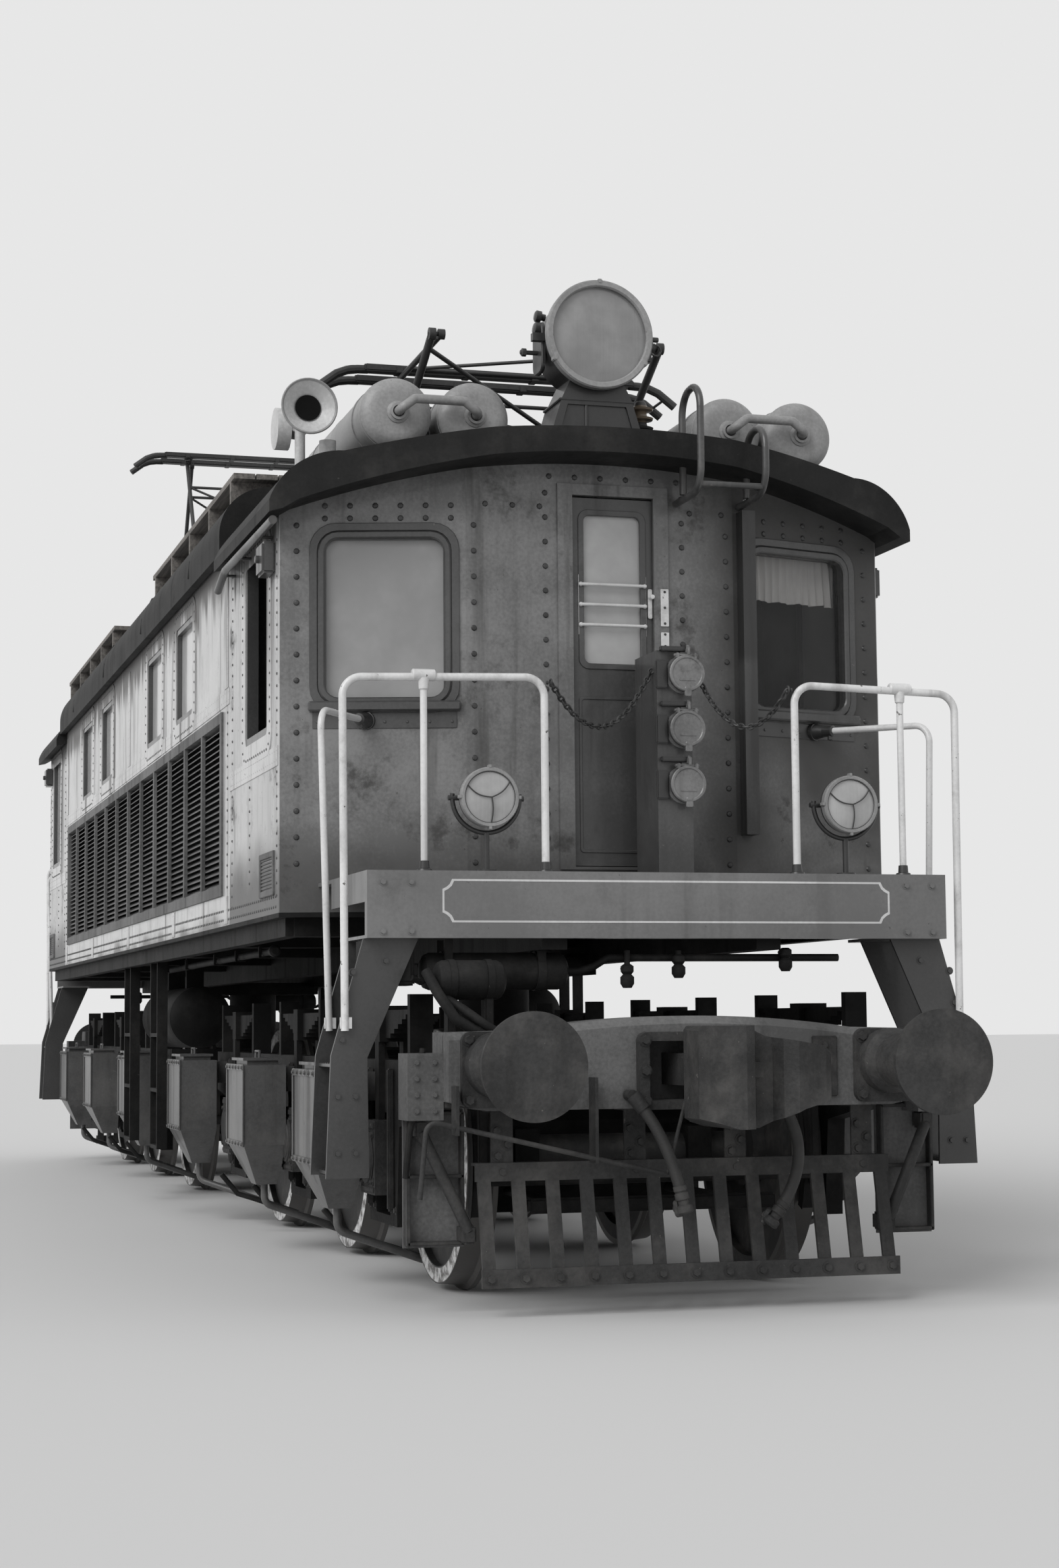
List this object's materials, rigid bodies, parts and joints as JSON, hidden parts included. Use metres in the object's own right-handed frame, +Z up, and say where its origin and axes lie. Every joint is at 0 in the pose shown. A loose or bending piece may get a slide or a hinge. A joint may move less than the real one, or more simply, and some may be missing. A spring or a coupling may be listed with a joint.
{
  "type": "electric locomotive",
  "caption": "Riveted box-body electric locomotive with end platforms on two articulated three-axle bogies, opening cab doors and two folding roof pantographs",
  "frame": {"origin": "centre of the locomotive at the level of the lowest point of the wheel flanges", "axes": "+X towards the leading cab, +Y to the left when facing +X, +Z up"},
  "size_m": [16.218, 3.36, 6.3199],
  "materials": {
    "wheel_steel": "rolled and cast steel, dull with brake dust",
    "running_gear": "near black paint with oil and dust",
    "cast_gear": "dark oily castings",
    "sandbox_paint": "dark grey paint, dusty",
    "hose_rubber": "matt black rubber",
    "front_paint": "semi-gloss mid grey paint",
    "side_paint": "glossy light grey paint with rain streaks",
    "louvre_paint": "dark grey paint",
    "roof_paint": "dark roof paint, dusty",
    "tank_paint": "matt light grey paint",
    "window_glass": "clear window glass",
    "rim_paint": "dark paint on window rims",
    "rail_white": "white gloss paint",
    "lamp_paint": "black paint",
    "chain_steel": "dark steel links",
    "interior_paint": "satin paint inside the cabs",
    "gear_block": "plain grey",
    "panto_steel": "dark painted steel tube"
  },
  "bodies": {
    "body": {"underframe": "running_gear", "platforms": "front_paint", "cab_shell_front": "front_paint", "cab_shell_rear": "front_paint", "side_walls": "side_paint", "louvres": "louvre_paint", "cab_roofs": "roof_paint", "main_roof": "roof_paint", "roof_walkways": "roof_paint", "window_rims": "rim_paint", "open_window_rims": "rim_paint", "window_glass": "window_glass", "door_frames": "front_paint", "headlights": "lamp_paint", "marker_lamps": "lamp_paint", "air_tanks": "tank_paint", "horns": "tank_paint", "handrails": "rail_white", "socket_columns": "front_paint", "chains": "chain_steel", "cab_interiors": "interior_paint", "control_gear": "gear_block", "underbody_gear": "running_gear", "pantograph_bases": "panto_steel"},
    "bogie_front": {"bogie_frame_front": "running_gear", "axle_boxes_front": "cast_gear", "leaf_springs_front": "cast_gear", "sandboxes_front": "sandbox_paint", "traction_motors_front": "cast_gear", "draw_gear_front": "cast_gear", "cowcatcher_front": "running_gear", "brake_hoses_front": "hose_rubber"},
    "bogie_rear": {"bogie_frame_rear": "running_gear", "axle_boxes_rear": "cast_gear", "leaf_springs_rear": "cast_gear", "sandboxes_rear": "sandbox_paint", "traction_motors_rear": "cast_gear", "draw_gear_rear": "cast_gear", "cowcatcher_rear": "running_gear", "brake_hoses_rear": "hose_rubber"},
    "axle_1": {"wheelset_1": "wheel_steel"},
    "axle_2": {"wheelset_2": "wheel_steel"},
    "axle_3": {"wheelset_3": "wheel_steel"},
    "axle_4": {"wheelset_4": "wheel_steel"},
    "axle_5": {"wheelset_5": "wheel_steel"},
    "axle_6": {"wheelset_6": "wheel_steel"},
    "cab_door_front": {"door_front": "front_paint", "door_glass_front": "window_glass"},
    "front_lower_fore": {"front_panto_lower_fore": "panto_steel"},
    "front_lower_aft": {"front_panto_lower_aft": "panto_steel"},
    "front_upper_fore": {"front_panto_upper_fore": "panto_steel"},
    "front_upper_aft": {"front_panto_upper_aft": "panto_steel"},
    "front_head": {"front_panto_head": "panto_steel"},
    "cab_door_rear": {"door_rear": "front_paint", "door_glass_rear": "window_glass"},
    "rear_lower_fore": {"rear_panto_lower_fore": "panto_steel"},
    "rear_lower_aft": {"rear_panto_lower_aft": "panto_steel"},
    "rear_upper_fore": {"rear_panto_upper_fore": "panto_steel"},
    "rear_upper_aft": {"rear_panto_upper_aft": "panto_steel"},
    "rear_head": {"rear_panto_head": "panto_steel"}
  },
  "joints": [
    {"name": "bogie_front_swivel", "type": "hinge", "parent": "body", "child": "bogie_front", "pos_m": [4.05, 0, 1.1], "axis": [0, 0, 1], "range_deg": [-2, 2]},
    {"name": "bogie_rear_swivel", "type": "hinge", "parent": "body", "child": "bogie_rear", "pos_m": [-4.05, 0, 1.1], "axis": [0, 0, 1], "range_deg": [-2, 2]},
    {"name": "axle_1_spin", "type": "hinge", "parent": "bogie_front", "child": "axle_1", "pos_m": [6.15, 0, 0.638], "axis": [0, 1, 0], "continuous": true},
    {"name": "axle_2_spin", "type": "hinge", "parent": "bogie_front", "child": "axle_2", "pos_m": [4.05, 0, 0.638], "axis": [0, 1, 0], "continuous": true},
    {"name": "axle_3_spin", "type": "hinge", "parent": "bogie_front", "child": "axle_3", "pos_m": [1.95, 0, 0.638], "axis": [0, 1, 0], "continuous": true},
    {"name": "axle_4_spin", "type": "hinge", "parent": "bogie_rear", "child": "axle_4", "pos_m": [-6.15, 0, 0.638], "axis": [0, 1, 0], "continuous": true},
    {"name": "axle_5_spin", "type": "hinge", "parent": "bogie_rear", "child": "axle_5", "pos_m": [-4.05, 0, 0.638], "axis": [0, 1, 0], "continuous": true},
    {"name": "axle_6_spin", "type": "hinge", "parent": "bogie_rear", "child": "axle_6", "pos_m": [-1.95, 0, 0.638], "axis": [0, 1, 0], "continuous": true},
    {"name": "door_front_hinge", "type": "hinge", "parent": "body", "child": "cab_door_front", "pos_m": [6.115, -0.167, 2.9], "axis": [0, 0, 1], "range_deg": [0, 85]},
    {"name": "door_rear_hinge", "type": "hinge", "parent": "body", "child": "cab_door_rear", "pos_m": [-6.115, 0.167, 2.9], "axis": [0, 0, 1], "range_deg": [0, 85]},
    {"name": "front_panto_raise", "type": "hinge", "parent": "body", "child": "front_lower_fore", "pos_m": [4.45, 0, 4.5], "axis": [0, -1, 0], "range_deg": [0, 42.6]},
    {"name": "front_lower_aft_hinge", "type": "hinge", "parent": "body", "child": "front_lower_aft", "pos_m": [3.85, 0, 4.5], "axis": [0, 1, 0], "range_deg": [0, 42.7]},
    {"name": "front_knee_fore", "type": "hinge", "parent": "front_lower_fore", "child": "front_upper_fore", "pos_m": [5.25, 0, 4.9316], "axis": [0, 1, 0], "range_deg": [0, 101.8]},
    {"name": "front_knee_aft", "type": "hinge", "parent": "front_lower_aft", "child": "front_upper_aft", "pos_m": [3.05, 0, 4.9316], "axis": [0, -1, 0], "range_deg": [0, 101.8]},
    {"name": "front_head_level", "type": "hinge", "parent": "front_upper_fore", "child": "front_head", "pos_m": [4.21, 0, 4.93], "axis": [0, -1, 0], "range_deg": [0, 59.2]},
    {"name": "rear_panto_raise", "type": "hinge", "parent": "body", "child": "rear_lower_fore", "pos_m": [-3.85, 0, 4.5], "axis": [0, -1, 0], "range_deg": [-42.6, 0]},
    {"name": "rear_lower_aft_hinge", "type": "hinge", "parent": "body", "child": "rear_lower_aft", "pos_m": [-4.45, 0, 4.5], "axis": [0, 1, 0], "range_deg": [-42.7, 0]},
    {"name": "rear_knee_fore", "type": "hinge", "parent": "rear_lower_fore", "child": "rear_upper_fore", "pos_m": [-3.55327, 0, 5.3592], "axis": [0, 1, 0], "range_deg": [-101.8, 0]},
    {"name": "rear_knee_aft", "type": "hinge", "parent": "rear_lower_aft", "child": "rear_upper_aft", "pos_m": [-4.74673, 0, 5.3592], "axis": [0, -1, 0], "range_deg": [-101.8, 0]},
    {"name": "rear_head_level", "type": "hinge", "parent": "rear_upper_fore", "child": "rear_head", "pos_m": [-4.09, 0, 6.25], "axis": [0, -1, 0], "range_deg": [-59.2, 0]}
  ],
  "couplings": [
    {"joint": "bogie_rear_swivel", "follows": "bogie_front_swivel", "ratio": -1},
    {"joint": "front_lower_aft_hinge", "follows": "front_panto_raise", "ratio": 1},
    {"joint": "front_knee_fore", "follows": "front_panto_raise", "ratio": 2.3854},
    {"joint": "front_knee_aft", "follows": "front_panto_raise", "ratio": 2.3854},
    {"joint": "front_head_level", "follows": "front_panto_raise", "ratio": 1.3854},
    {"joint": "rear_lower_aft_hinge", "follows": "rear_panto_raise", "ratio": 1},
    {"joint": "rear_knee_fore", "follows": "rear_panto_raise", "ratio": 2.3854},
    {"joint": "rear_knee_aft", "follows": "rear_panto_raise", "ratio": 2.3854},
    {"joint": "rear_head_level", "follows": "rear_panto_raise", "ratio": 1.3854}
  ]
}
